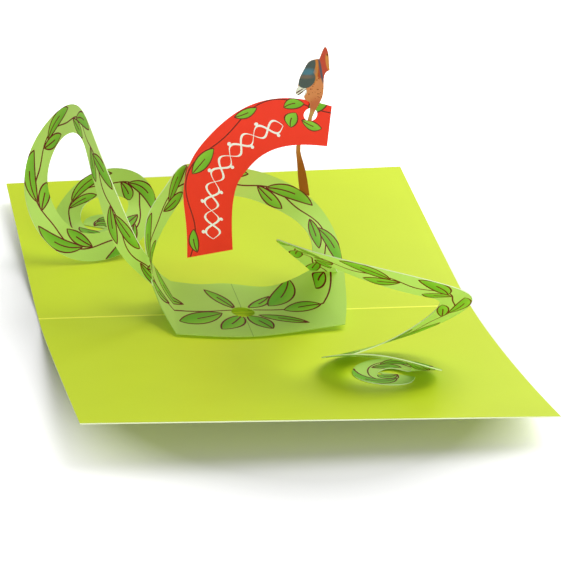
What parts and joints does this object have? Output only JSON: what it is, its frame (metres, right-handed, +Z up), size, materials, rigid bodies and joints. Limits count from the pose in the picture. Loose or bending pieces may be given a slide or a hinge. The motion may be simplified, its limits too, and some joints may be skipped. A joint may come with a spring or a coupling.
{
  "type": "pop up greeting card",
  "caption": "Open folded greeting card with a paper pop-up: a band and hoop over the gutter, coiled paper volutes, an arched banner and a flat perched bird.",
  "frame": {"origin": "middle of the gutter, on the card's underside", "axes": "+X along the gutter to the reader's right, +Y away from the reader over the back page, +Z up"},
  "size_m": [0.178, 0.254, 0.1079],
  "materials": {
    "base_card": "smooth lime green card, slight sheen",
    "swirl_paper": "pale green printed paper with a leafy vine",
    "banner_paper": "red printed paper with leaves",
    "bird_paper": "printed paper in orange, red and slate blue"
  },
  "bodies": {
    "root": {"base_card": "base_card", "pop_up_swirl": "swirl_paper", "banner": "banner_paper", "bird": "bird_paper"}
  },
  "joints": []
}
